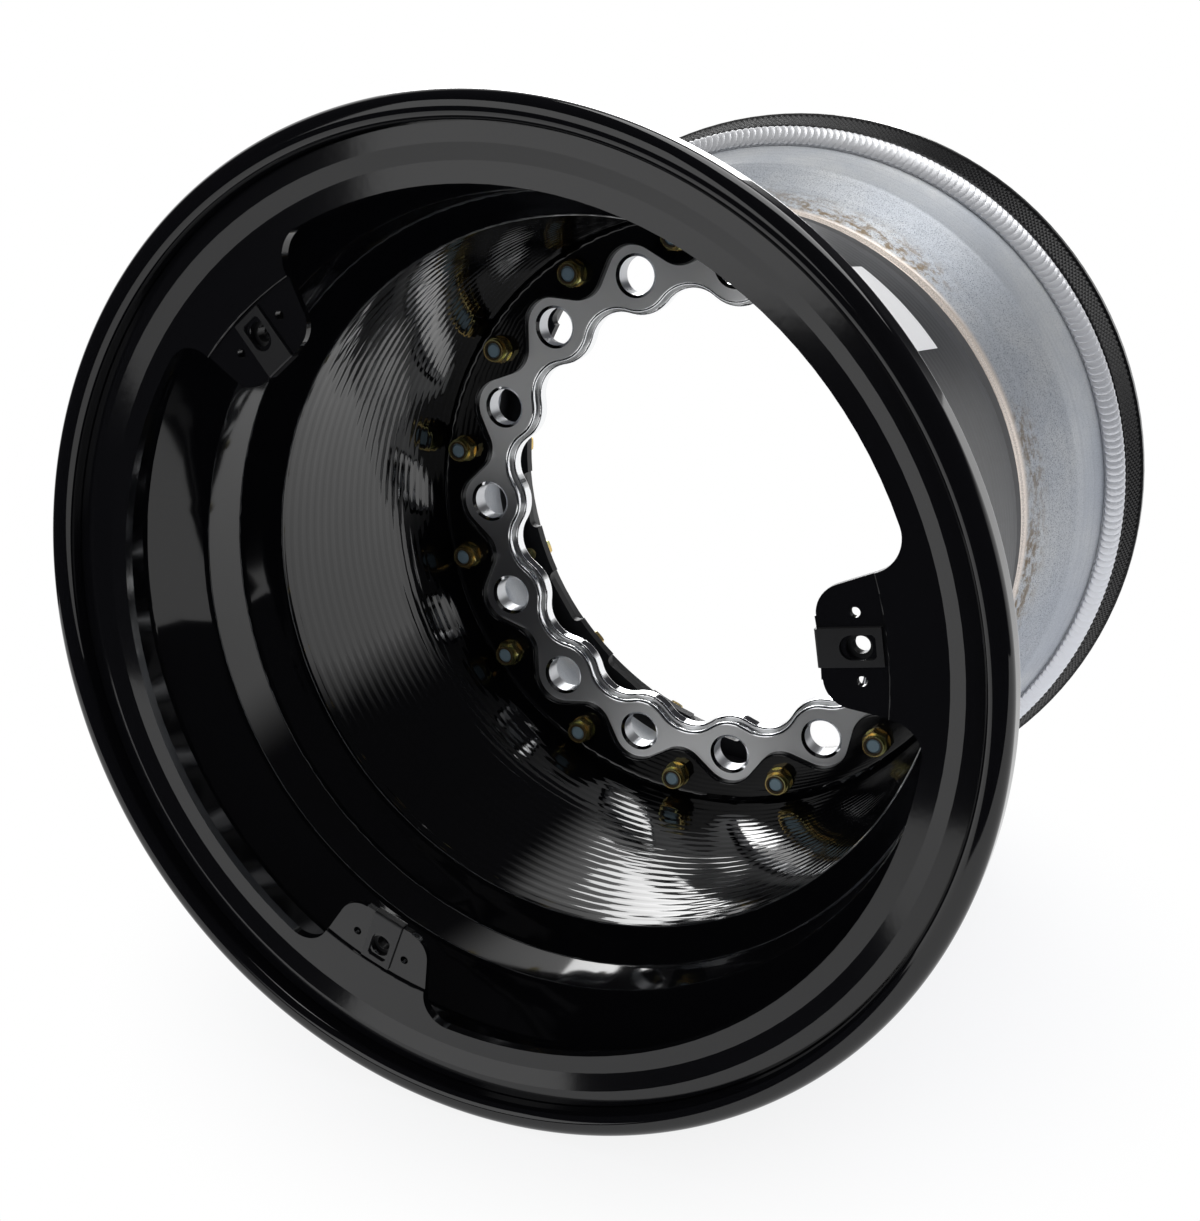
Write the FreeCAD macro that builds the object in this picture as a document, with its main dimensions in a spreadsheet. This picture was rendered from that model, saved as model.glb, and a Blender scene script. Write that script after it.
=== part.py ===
"""Three-piece deep-dish racing wheel, 15 x 14 in, with a clamped rear bead.

The wheel turns about Y. Its front, the deep black dish, faces -Y, and Z is up.
Depths are measured along Y from the front of the lip; the finished wheel is
moved so that the origin lies at its middle.
"""
import FreeCAD
import Part
import Sketcher
import math
import os
from FreeCAD import Placement, Rotation, Vector

# Driving sizes: millimetres and degrees
SIZES = [
    # Front rim and bead seat of the outer half
    ("rim_radius", 203.2),
    ("lip_width", 10.0),
    ("lip_round", 4.7),
    ("flange_front", 12.1),
    ("flange_thick", 4.5),
    ("flange_height", 13.2),
    ("bead_radius", "=rim_radius - flange_height"),
    ("bead_round", 5.0),
    ("bead_width", 20.8),
    ("bead_fall", 1.8),
    # Stepped drop and long barrel of the outer half: wall, inside radii and depths
    ("wall", 4.5),
    ("drop_rise", 10.6),
    ("drop_radius", "=barrel_start_radius + drop_rise"),
    ("drop_start", 61.4),
    ("drop_end", 86.0),
    ("barrel_taper", 3.4),
    ("barrel_start_radius", "=barrel_end_radius + barrel_taper"),
    ("barrel_start", 102.0),
    ("barrel_set_in", 0.3),
    ("barrel_end_radius", "=ring_radius - barrel_set_in"),
    ("fold_round", 6.0),
    ("bend_round", 2.5),
    # Centre ring
    ("ring_front", 255.1),
    ("ring_thick", 12.7),
    ("ring_margin", 11.1),
    ("ring_radius", "=bolt_circle / 2 + ring_margin"),
    ("lug_circle", 260.35),
    ("lug_count", 15),
    ("lug_phase", 12.8),
    ("lug_hole", 19.4),
    ("lug_chamfer", 1.5),
    ("lug_land", 18.2),
    ("valley_set_in", 29.175),
    ("valley_circle", "=lug_circle - 2 * valley_set_in"),
    ("valley_radius", 19.5),
    ("ring_step", 2.0),
    ("ring_step_depth", 5.2),
    ("ring_stock", 1.0),
    ("ring_front_round", 1.6),
    ("ring_step_round", 1.1),
    # Scalloped flanges of both halves
    ("scallop_radius", 15.4),
    ("lobe_radius", 14.2),
    ("flange_edge_round", 1.0),
    # Bolts, washers and lock nuts of the joint
    ("bolt_set_out", 14.225),
    ("bolt_circle", "=lug_circle + 2 * bolt_set_out"),
    ("bolt_diameter", 7.94),
    ("bolt_clearance", 0.4),
    ("head_across", 12.7),
    ("head_height", 5.3),
    ("washer_diameter", 14.2),
    ("washer_thick", 1.2),
    ("nut_across", 12.7),
    ("nut_height", 8.3),
    ("nut_collar", 11.4),
    ("nut_collar_height", 2.7),
    ("insert_diameter", 10.2),
    ("insert_height", 2.4),
    ("fit_clearance", 0.1),
    ("bolt_end_recess", 0.4),
    ("bolt_end_bevel", 0.9),
    # Inner half: outside radii and depths
    ("waist_rise", 2.5),
    ("waist_radius", "=ring_radius + waist_rise"),
    ("waist_end", 280.4),
    ("flare_drop", 10.8),
    ("flare_radius", "=seat_radius - flare_drop"),
    ("flare_end", 321.4),
    ("seat_depth", 14.9),
    ("seat_radius", "=rim_radius - seat_depth"),
    # Bead ring, weld and clamp ring at the rear
    ("bead_ring_front", 361.4),
    ("bead_ring_depth", 19.0),
    ("bead_ring_taper", 5.2),
    ("bead_ring_edge_gap", 1.2),
    ("bead_ring_front_radius", "=bead_ring_rear_radius - bead_ring_taper"),
    ("bead_ring_rear_radius", "=rim_radius - bead_ring_edge_gap"),
    ("bead_ring_bevel", 0.8),
    ("inner_flange_thick", 6.0),
    ("inner_flange_width", 34.2),
    ("inner_lobe_radius", "=rim_radius - inner_flange_width"),
    ("inner_notch_depth", 3.7),
    ("inner_notch_width", 36.0),
    ("inner_notch_round", 4.5),
    ("weld_leg", 7.0),
    ("weld_height", 7.7),
    ("weld_crown", 1.6),
    ("clamp_thick", 6.35),
    ("clamp_set_back", 4.4),
    ("clamp_inner_radius", "=inner_lobe_radius + clamp_set_back"),
    ("clamp_bevel", 1.0),
    ("clamp_bolt_set_in", 23.2),
    ("clamp_bolt_circle", "=2 * (rim_radius - clamp_bolt_set_in)"),
    ("clamp_count", 16),
    ("clamp_phase", 21.1),
    # Cover ring with three tabs in the front lip
    ("cover_gap", 0.4),
    ("cover_rim_thick", 3.5),
    ("cover_rim_width", 6.6),
    ("cover_rim_inner", "=rim_radius - lip_width - cover_gap - cover_rim_width"),
    ("cover_slope_width", 6.0),
    ("cover_plate_radius", "=cover_rim_inner - cover_slope_width"),
    ("cover_plate_width", 7.7),
    ("cover_plate_inner", "=cover_plate_radius - cover_plate_width"),
    ("cover_plate_front", 12.4),
    ("cover_plate_thick", 4.0),
    ("tab_count", 3),
    ("tab_phase", 8.8),
    ("tab_root_length", 13.2),
    ("tab_step_radius", "=cover_plate_inner - tab_root_length"),
    ("tab_step", 1.2),
    ("tab_step_round", 0.6),
    ("tab_length", 24.1),
    ("tab_end", "=tab_step_radius - tab_length"),
    ("tab_half_width", 26.3),
    ("tab_end_half_width", 20.0),
    ("tab_corner_round", 11.0),
    ("tab_root_round", 12.5),
    ("tab_hole", 3.7),
    ("tab_hole_spacing", 24.6),
    ("tab_hole_set_out", 14.0),
    ("tab_hole_radius", "=tab_end + tab_hole_set_out"),
    ("tab_slot", 9.6),
    # Spring clips on the tabs
    ("clip_width", 14.0),
    ("clip_metal", 1.0),
    ("clip_front_length", 22.8),
    ("clip_front_end", "=tab_end + clip_front_length"),
    ("clip_rear_length", 20.8),
    ("clip_rear_end", "=tab_end + clip_rear_length"),
    ("clip_window_set_out", 7.4),
    ("clip_window_start", "=tab_end + clip_window_set_out"),
    ("clip_window_length", 13.0),
    ("clip_window_end", "=clip_window_start + clip_window_length"),
    ("clip_window_width", 9.0),
    ("clip_window_corner", 1.2),
    ("clip_thread_set_out", 14.2),
    ("clip_thread_radius", "=tab_end + clip_thread_set_out"),
    ("clip_thread", 6.4),
    ("clip_barrel", 8.8),
    ("clip_barrel_height", 3.2),
    # Seal of the joint and tyre valve
    ("seal_thick", 2.9),
    ("seal_outer_radius", "=ring_radius + seal_thick"),
    ("valve_angle", 33.0),
    ("valve_depth", "=(drop_start + drop_end) / 2"),
    ("valve_hole", 11.5),
    ("valve_seal_diameter", 18.0),
    ("valve_seal_thick", 3.0),
    ("valve_diameter", 8.2),
    ("valve_base_diameter", 16.0),
    ("valve_base_thick", 2.5),
    ("valve_length", 24.0),
    ("valve_nut_across", 14.0),
    ("valve_nut_height", 5.0),
    ("valve_cap_diameter", 10.0),
    ("valve_cap_height", 6.2),
    ("valve_cap_wall", 0.8),
]

doc = FreeCAD.newDocument("Wheel")
sheet = doc.addObject("Spreadsheet::Sheet", "sizes")
for row, (alias, value) in enumerate(SIZES, start=1):
    sheet.set("A%d" % row, alias)
    sheet.setAlias("B%d" % row, alias)
for row, (alias, value) in enumerate(SIZES, start=1):
    sheet.set("B%d" % row, str(value))
doc.recompute()


def number(expression):
    """Value of an expression of the sizes, as a plain number."""
    result = sheet.evalExpression(expression)
    return float(getattr(result, "Value", result))


size = {alias: number("sizes." + alias) for alias, value in SIZES}

# Places that several pieces share
FRONT_FLANGE = "(sizes.ring_front - sizes.wall)"
RING_REAR = "(sizes.ring_front + sizes.ring_thick)"
REAR_FLANGE = "(sizes.ring_front + sizes.ring_thick + sizes.wall)"
BEAD_RING_REAR = "(sizes.bead_ring_front + sizes.bead_ring_depth)"
CLAMP_REAR = "(sizes.bead_ring_front + sizes.bead_ring_depth + sizes.clamp_thick)"
MIDDLE = "(%s + sizes.head_height) / 2" % CLAMP_REAR
FLANGE_EDGE = "(sizes.bolt_circle / 2 - sizes.lobe_radius)"

rear_flange = number(REAR_FLANGE)
front_flange = number(FRONT_FLANGE)
clamp_rear = number(CLAMP_REAR)
middle = number(MIDDLE)
lug_pitch = 360.0 / size["lug_count"]
bolt_phase = size["lug_phase"] + lug_pitch / 2


def new_body(label):
    """A body that carries one piece, moved so that the wheel's middle is the origin."""
    body = doc.addObject("PartDesign::Body", label)
    body.Label = label
    body.setExpression("Placement.Base.y", "-" + MIDDLE)
    return body


def origin(body, role):
    """Plane or axis of a body's own origin."""
    for feature in body.Origin.OriginFeatures:
        if feature.Role == role:
            return feature


def new_sketch(body, name, plane):
    sketch = body.newObject("Sketcher::SketchObject", name)
    sketch.AttachmentSupport = [(origin(body, plane), "")]
    sketch.MapMode = "FlatFace"
    return sketch


def profile(body, name, corners):
    """Closed section in the XY plane: each corner is a radius and a depth."""
    sketch = new_sketch(body, name, "XY_Plane")
    points = [Vector(number(r), number(d), 0) for r, d in corners]
    count = len(points)
    for i in range(count):
        sketch.addGeometry(Part.LineSegment(points[i], points[(i + 1) % count]), False)
    for i in range(count):
        sketch.addConstraint(Sketcher.Constraint("Coincident", i, 2, (i + 1) % count, 1))
    for i, (r, d) in enumerate(corners):
        across = sketch.addConstraint(Sketcher.Constraint("DistanceX", -1, 1, i, 1, points[i].x))
        sketch.setExpression("Constraints[%d]" % across, r)
        if points[i].y == 0:
            sketch.addConstraint(Sketcher.Constraint("PointOnObject", i, 1, -1))
            continue
        along = sketch.addConstraint(Sketcher.Constraint("DistanceY", -1, 1, i, 1, points[i].y))
        sketch.setExpression("Constraints[%d]" % along, d)
    return sketch


def revolve(body, name, corners):
    """Solid of revolution about the wheel's axis."""
    sketch = profile(body, name + "_section", corners)
    feature = body.newObject("PartDesign::Revolution", name)
    feature.Profile = sketch
    feature.ReferenceAxis = (origin(body, "Y_Axis"), [""])
    feature.Angle = 360
    doc.recompute()
    return feature


def round_circles(body, name, radius, corners):
    """Fillet on the circular edges that lie at the given radii and depths."""
    base = body.Tip
    wanted = [(number(r), number(d)) for r, d in corners]
    names = []
    for i, edge in enumerate(base.Shape.Edges, start=1):
        if not isinstance(edge.Curve, Part.Circle):
            continue
        here = (edge.Curve.Radius, edge.Curve.Center.y)
        if any(math.dist(here, spot) < 0.01 for spot in wanted):
            names.append("Edge%d" % i)
    feature = body.newObject("PartDesign::Fillet", name)
    feature.Base = (base, names)
    feature.setExpression("Radius", radius)
    doc.recompute()
    return feature


def round_waves(body, name, radius, hollow, depths):
    """Fillet on the waved edges whose hollows have this radius, at the given depths."""
    base = body.Tip
    levels = [number(depth) for depth in depths]
    names = []
    for i, edge in enumerate(base.Shape.Edges, start=1):
        if isinstance(edge.Curve, Part.Circle) and abs(edge.Curve.Radius - hollow) < 0.001:
            if any(abs(edge.Curve.Center.y - level) < 0.001 for level in levels):
                names.append("Edge%d" % i)
    feature = body.newObject("PartDesign::Fillet", name)
    feature.Base = (base, names)
    feature.setExpression("Radius", radius)
    doc.recompute()


def cut(body, name, geometry, depth=None, length=None):
    """Pocket of a closed outline in the wheel's face plane.

    Without a depth it goes right through; with one it starts there and runs inward.
    """
    before = body.Shape.Volume
    sketch = new_sketch(body, name + "_outline", "XZ_Plane")
    for item in geometry:
        sketch.addGeometry(item, False)
    feature = body.newObject("PartDesign::Pocket", name)
    feature.Profile = sketch
    if depth is None:
        feature.Type = "ThroughAll"
        feature.Midplane = True
    else:
        sketch.setExpression("AttachmentOffset.Base.z", "-" + depth)
        feature.setExpression("Length", length)
    doc.recompute()
    if body.Shape.Volume > before - 0.1:
        raise RuntimeError(name + " cuts nothing")
    return feature


def around(body, name, feature, count):
    """Polar pattern of a feature about the wheel's axis."""
    pattern = body.newObject("PartDesign::PolarPattern", name)
    pattern.Originals = [feature]
    pattern.Axis = (origin(body, "Y_Axis"), [""])
    pattern.Angle = 360
    pattern.setExpression("Occurrences", count)
    body.Tip = pattern
    doc.recompute()
    return pattern


def polar(radius, angle):
    """Point of the face plane, with the angle from X towards Z."""
    turn = math.radians(angle)
    return Vector(radius * math.cos(turn), radius * math.sin(turn), 0)


def wave(count, hollow_circle, hollow_radius, hollow_phase, land_circle, land_radius):
    """Closed wavy outline: arcs round hollows and round lands, joined by tangents.

    The lands lie half a pitch from the hollows and stand in towards the axis.
    """
    pitch = 360.0 / count
    geometry = []
    for k in range(count):
        angle = hollow_phase + k * pitch
        hollow = polar(hollow_circle, angle)
        touch = []
        for side in (-1, 1):
            land = polar(land_circle, angle + side * pitch / 2)
            apart = land - hollow
            along = (hollow_radius + land_radius) / apart.Length
            forward = Vector(apart).normalize()
            outward = Vector(-side * forward.y, side * forward.x, 0) * -1
            lean = forward * along + outward * math.sqrt(1 - along * along)
            touch.append((hollow + lean * hollow_radius, land - lean * land_radius))
        far = polar(hollow_circle + hollow_radius, angle)
        near = polar(land_circle - land_radius, angle + pitch / 2)
        turn = Rotation(Vector(0, 0, 1), pitch)
        geometry.append(Part.Arc(touch[0][0], far, touch[1][0]))
        geometry.append(Part.LineSegment(touch[1][0], touch[1][1]))
        geometry.append(Part.Arc(touch[1][1], near, turn.multVec(touch[0][1])))
        geometry.append(Part.LineSegment(turn.multVec(touch[0][1]), turn.multVec(touch[0][0])))
    return geometry


def circle(radius, angle, diameter):
    return Part.Circle(polar(radius, angle), Vector(0, 0, 1), diameter / 2)


def rounded(points, radii):
    """Closed outline of straight sides with a round at each corner."""
    count = len(points)
    starts = []
    ends = []
    arcs = []
    for i, corner in enumerate(points):
        back = (points[i - 1] - corner).normalize()
        ahead = (points[(i + 1) % count] - corner).normalize()
        half = back.getAngle(ahead) / 2
        run = radii[i] / math.tan(half)
        starts.append(corner + back * run)
        ends.append(corner + ahead * run)
        middle_way = (back + ahead).normalize()
        hub = corner + middle_way * (radii[i] / math.sin(half))
        arcs.append(hub - middle_way * radii[i])
    geometry = []
    for i in range(count):
        if radii[i] > 0:
            geometry.append(Part.Arc(starts[i], arcs[i], ends[i]))
        geometry.append(Part.LineSegment(ends[i], starts[(i + 1) % count]))
    return geometry


def flange_scallops(body, face):
    """Wavy inner edge and bolt holes of a half's flange, clear of the lug holes."""
    lug_circle = size["lug_circle"] / 2
    bolt_circle = size["bolt_circle"] / 2
    count = int(size["lug_count"])
    cut(body, "scallops", wave(count, lug_circle, size["scallop_radius"], size["lug_phase"],
                               bolt_circle, size["lobe_radius"]))
    hole = cut(body, "bolt_hole", [circle(bolt_circle, bolt_phase,
                                          size["bolt_diameter"] + size["bolt_clearance"])])
    around(body, "bolt_holes", hole, "sizes.lug_count")
    round_waves(body, "edge_rounds", "sizes.flange_edge_round", size["scallop_radius"], [face])


def solid_feature(label, shape):
    """Piece whose shape is put together here, at the wheel's own depths."""
    feature = doc.addObject("Part::Feature", label)
    feature.Label = label
    feature.Shape = shape
    feature.Placement = Placement(Vector(0, -middle, 0), Rotation())
    return feature


def cylinder(diameter, start, end):
    """Cylinder along Y about the origin."""
    return Part.makeCylinder(diameter / 2, end - start, Vector(0, start, 0), Vector(0, 1, 0))


def hexagon(across, start, end, bevel_at):
    """Hexagonal prism along Y with the corners turned off at one end."""
    corner = across / math.sqrt(3)
    turn = [math.radians(30 + 60 * i) for i in range(7)]
    ring = Part.makePolygon([Vector(corner * math.cos(a), start, corner * math.sin(a)) for a in turn])
    prism = Part.Face(ring).extrude(Vector(0, end - start, 0))
    drop = (corner - across / 2) * math.tan(math.radians(30))
    span = end - start
    base = end if bevel_at == "start" else start
    way = -1 if bevel_at == "start" else 1
    turned = Part.makeCylinder(corner, span - drop, Vector(0, base, 0), Vector(0, way, 0))
    crown = Part.makeCone(corner, across / 2, drop, Vector(0, base + way * (span - drop), 0), Vector(0, way, 0))
    return prism.common(turned.fuse(crown).removeSplitter())


def ring_of(shape, circle_diameter, count, phase):
    """Separate copies of a fastener set round a bolt circle, one side facing the axis."""
    copies = []
    for k in range(count):
        angle = phase + k * 360.0 / count
        spot = polar(circle_diameter / 2, angle)
        turned = shape.copy()
        turned.Placement = Placement(Vector(spot.x, 0, spot.y), Rotation(Vector(0, 1, 0), -angle))
        copies.append(turned)
    return Part.makeCompound(copies)


# Outer half: rolled lip, bead seat, stepped drop, long barrel and scalloped flange
outer_half = new_body("outer_half")
lip_inner = "sizes.rim_radius - sizes.lip_width"
flange_back = "sizes.flange_front + sizes.flange_thick"
seat_end = "sizes.flange_front + sizes.flange_thick + sizes.bead_width"
seat_end_radius = "sizes.bead_radius - sizes.bead_fall"
folds = [
    (seat_end_radius, seat_end),
    ("sizes.drop_radius + sizes.wall", "sizes.drop_start"),
    ("sizes.drop_radius + sizes.wall", "sizes.drop_end"),
    ("sizes.barrel_start_radius + sizes.wall", "sizes.barrel_start"),
    ("sizes.barrel_start_radius", "sizes.barrel_start"),
    ("sizes.drop_radius", "sizes.drop_end"),
    ("sizes.drop_radius", "sizes.drop_start"),
    (seat_end_radius + " - sizes.wall", seat_end),
]
lip = [(lip_inner, "0"), ("sizes.rim_radius", "0"), ("sizes.rim_radius", flange_back)]
bead_corner = [("sizes.bead_radius", flange_back), ("sizes.bead_radius - sizes.wall", "sizes.flange_front")]
outer_bend = ("sizes.barrel_end_radius + sizes.wall", "sizes.ring_front")
inner_bend = ("sizes.barrel_end_radius", FRONT_FLANGE)
revolve(outer_half, "shell", [(lip_inner, "sizes.flange_front")] + lip + bead_corner[:1] + folds[:4] + [
    outer_bend, (FLANGE_EDGE, "sizes.ring_front"), (FLANGE_EDGE, FRONT_FLANGE), inner_bend,
] + folds[4:] + bead_corner[1:])
round_circles(outer_half, "lip_rounds", "sizes.lip_round", lip)
round_circles(outer_half, "bead_rounds", "sizes.bead_round", bead_corner)
round_circles(outer_half, "fold_rounds", "sizes.fold_round", folds)
round_circles(outer_half, "outer_bend_round", "sizes.bend_round + sizes.wall", [outer_bend])
round_circles(outer_half, "inner_bend_round", "sizes.bend_round", [inner_bend])
flange_scallops(outer_half, FRONT_FLANGE)
valve_cut = outer_half.newObject("Sketcher::SketchObject", "valve_hole_outline")
valve_cut.AttachmentSupport = [(origin(outer_half, "XY_Plane"), "")]
valve_cut.MapMode = "FlatFace"
valve_cut.addGeometry(Part.Circle(Vector(0, 0, 0), Vector(0, 0, 1), size["valve_hole"] / 2), False)
valve_cut.addConstraint(Sketcher.Constraint("Coincident", 0, 3, -1, 1))
bore = valve_cut.addConstraint(Sketcher.Constraint("Diameter", 0, size["valve_hole"]))
valve_cut.setExpression("Constraints[%d]" % bore, "sizes.valve_hole")
valve_turn = Rotation(Vector(0, 1, 0), 90 - size["valve_angle"])
valve_cut.AttachmentOffset = Placement(Vector(0, size["valve_depth"], 0), valve_turn)
valve_hole = outer_half.newObject("PartDesign::Pocket", "valve_hole")
valve_hole.Profile = valve_cut
valve_hole.Reversed = True
valve_hole.setExpression("Length", "sizes.rim_radius")
doc.recompute()

# Centre ring: waved inner edge in two steps, chamfered lug holes, bolt holes
centre_ring = new_body("centre_ring")
lug_count = int(size["lug_count"])
lug_radius = size["lug_circle"] / 2
core = "(sizes.lug_circle / 2 - sizes.lug_land - sizes.ring_step - sizes.ring_stock)"
ring_corners = [
    (core, "sizes.ring_front"), ("sizes.ring_radius", "sizes.ring_front"),
    ("sizes.ring_radius", RING_REAR), (core, RING_REAR),
]
revolve(centre_ring, "blank", ring_corners)
valley_circle = size["valley_circle"] / 2
step = size["ring_step"]
cut(centre_ring, "inner_edge", wave(lug_count, valley_circle, size["valley_radius"] - step, bolt_phase,
                                    lug_radius, size["lug_land"] + step))
cut(centre_ring, "front_edge", wave(lug_count, valley_circle, size["valley_radius"], bolt_phase,
                                    lug_radius, size["lug_land"]), "sizes.ring_front", "sizes.ring_step_depth")
lug = cut(centre_ring, "lug_hole", [circle(lug_radius, size["lug_phase"], size["lug_hole"])])
around(centre_ring, "lug_holes", lug, "sizes.lug_count")
ring_bolt = cut(centre_ring, "bolt_hole", [circle(size["bolt_circle"] / 2, bolt_phase,
                                                  size["bolt_diameter"] + size["bolt_clearance"])])
around(centre_ring, "bolt_holes", ring_bolt, "sizes.lug_count")
lug_edges = []
for i, edge in enumerate(centre_ring.Shape.Edges, start=1):
    if isinstance(edge.Curve, Part.Circle) and abs(edge.Curve.Radius - size["lug_hole"] / 2) < 0.001:
        lug_edges.append("Edge%d" % i)
drilled = centre_ring.Tip
lug_bevels = centre_ring.newObject("PartDesign::Chamfer", "lug_bevels")
lug_bevels.Base = (drilled, lug_edges)
lug_bevels.setExpression("Size", "sizes.lug_chamfer")
doc.recompute()


round_waves(centre_ring, "front_rounds", "sizes.ring_front_round", size["valley_radius"], ["sizes.ring_front"])
round_waves(centre_ring, "step_rounds", "sizes.ring_step_round", size["valley_radius"] - step,
            ["sizes.ring_front + sizes.ring_step_depth", RING_REAR])

# Inner half: flange behind the ring, waist, flare and rear bead seat
inner_half = new_body("inner_half")
rear_outer_bend = ("sizes.waist_radius", RING_REAR)
rear_inner_bend = ("sizes.waist_radius - sizes.wall", REAR_FLANGE)
rear_folds = [
    ("sizes.waist_radius", "sizes.waist_end"), ("sizes.flare_radius", "sizes.flare_end"),
    ("sizes.flare_radius - sizes.wall", "sizes.flare_end"),
    ("sizes.waist_radius - sizes.wall", "sizes.waist_end"),
]
revolve(inner_half, "shell", [(FLANGE_EDGE, RING_REAR), rear_outer_bend] + rear_folds[:2] + [
    ("sizes.seat_radius", "sizes.bead_ring_front"), ("sizes.seat_radius - sizes.wall", "sizes.bead_ring_front"),
] + rear_folds[2:] + [rear_inner_bend, (FLANGE_EDGE, REAR_FLANGE)])
round_circles(inner_half, "fold_rounds", "sizes.fold_round", rear_folds)
round_circles(inner_half, "outer_bend_round", "sizes.bend_round + sizes.wall", [rear_outer_bend])
round_circles(inner_half, "inner_bend_round", "sizes.bend_round", [rear_inner_bend])
flange_scallops(inner_half, REAR_FLANGE)

# Bead ring: tapered edge for the knurl, inner flange with one lobe for each clamp bolt
bead_ring = new_body("bead_ring")
bead_bore = "(sizes.seat_radius - sizes.wall)"
inner_flange = "(%s - sizes.inner_flange_thick)" % BEAD_RING_REAR
revolve(bead_ring, "blank", [
    (bead_bore, "sizes.bead_ring_front"),
    ("sizes.bead_ring_front_radius - sizes.bead_ring_bevel", "sizes.bead_ring_front"),
    ("sizes.bead_ring_front_radius", "sizes.bead_ring_front + sizes.bead_ring_bevel"),
    ("sizes.bead_ring_rear_radius", BEAD_RING_REAR),
    ("sizes.inner_lobe_radius", BEAD_RING_REAR),
    ("sizes.inner_lobe_radius", inner_flange),
    (bead_bore, inner_flange),
])
notch_phase = size["clamp_phase"] + 180.0 / size["clamp_count"]
notch_top = size["inner_lobe_radius"] + size["inner_notch_depth"]
notch_side = size["inner_notch_width"] / 2
notch_foot = size["inner_lobe_radius"] - size["inner_notch_depth"]
notch_turn = Rotation(Vector(0, 0, 1), notch_phase)
notch_corners = [Vector(notch_foot, -notch_side, 0), Vector(notch_top, -notch_side, 0),
                 Vector(notch_top, notch_side, 0), Vector(notch_foot, notch_side, 0)]
notch_rounds = [0, size["inner_notch_round"], size["inner_notch_round"], 0]
notch = cut(bead_ring, "notch", rounded([notch_turn.multVec(p) for p in notch_corners], notch_rounds))
around(bead_ring, "notches", notch, "sizes.clamp_count")
thread = cut(bead_ring, "clamp_hole", [circle(size["clamp_bolt_circle"] / 2, size["clamp_phase"],
                                              size["bolt_diameter"] + size["fit_clearance"])])
around(bead_ring, "clamp_holes", thread, "sizes.clamp_count")

# Weld: crowned fillet between the bare barrel and the front of the bead ring
weld_bead = new_body("weld_bead")
rise = "((sizes.seat_radius - sizes.flare_radius) / (sizes.bead_ring_front - sizes.flare_end))"
revolve(weld_bead, "fillet", [
    ("sizes.seat_radius", "sizes.bead_ring_front"),
    ("sizes.seat_radius - sizes.weld_leg * " + rise, "sizes.bead_ring_front - sizes.weld_leg"),
    ("sizes.seat_radius + sizes.weld_height / 2 + sizes.weld_crown / 2 - sizes.weld_leg * %s / 2" % rise,
     "sizes.bead_ring_front - sizes.weld_leg / 2 - sizes.weld_crown"),
    ("sizes.seat_radius + sizes.weld_height", "sizes.bead_ring_front"),
])

# Clamp ring behind the bead ring
clamp_ring = new_body("clamp_ring")
revolve(clamp_ring, "blank", [
    ("sizes.clamp_inner_radius", BEAD_RING_REAR),
    ("sizes.rim_radius", BEAD_RING_REAR),
    ("sizes.rim_radius", CLAMP_REAR + " - sizes.clamp_bevel"),
    ("sizes.rim_radius - sizes.clamp_bevel", CLAMP_REAR),
    ("sizes.clamp_inner_radius", CLAMP_REAR),
])
clamp_hole = cut(clamp_ring, "clamp_hole", [circle(size["clamp_bolt_circle"] / 2, size["clamp_phase"],
                                                   size["bolt_diameter"] + size["bolt_clearance"])])
around(clamp_ring, "clamp_holes", clamp_hole, "sizes.clamp_count")

# Cover ring: stepped ring inside the lip, cut away between its three tabs
cover_ring = new_body("cover_ring")
cover_edge = "(sizes.rim_radius - sizes.lip_width - sizes.cover_gap)"
cover_rim_front = "(sizes.flange_front - sizes.cover_rim_thick)"
plate_rear = "(sizes.cover_plate_front + sizes.cover_plate_thick)"
tab_front = "(sizes.cover_plate_front + sizes.tab_step)"
bead_bore_gap = "(sizes.bead_radius - sizes.wall - sizes.fit_clearance)"
revolve(cover_ring, "blank", [
    (cover_edge, cover_rim_front),
    (cover_edge, "sizes.flange_front"),
    (bead_bore_gap, "sizes.flange_front"),
    (bead_bore_gap, plate_rear),
    ("sizes.tab_end", plate_rear),
    ("sizes.tab_end", tab_front),
    ("sizes.tab_step_radius", tab_front),
    ("sizes.tab_step_radius", "sizes.cover_plate_front"),
    ("sizes.cover_plate_radius", "sizes.cover_plate_front"),
    ("sizes.cover_rim_inner", cover_rim_front),
])
tab_pitch = 360.0 / size["tab_count"]


def tab_point(along, side, index):
    """Point beside the centre line of a tab."""
    return Rotation(Vector(0, 0, 1), size["tab_phase"] + index * tab_pitch).multVec(Vector(along, side, 0))


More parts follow.
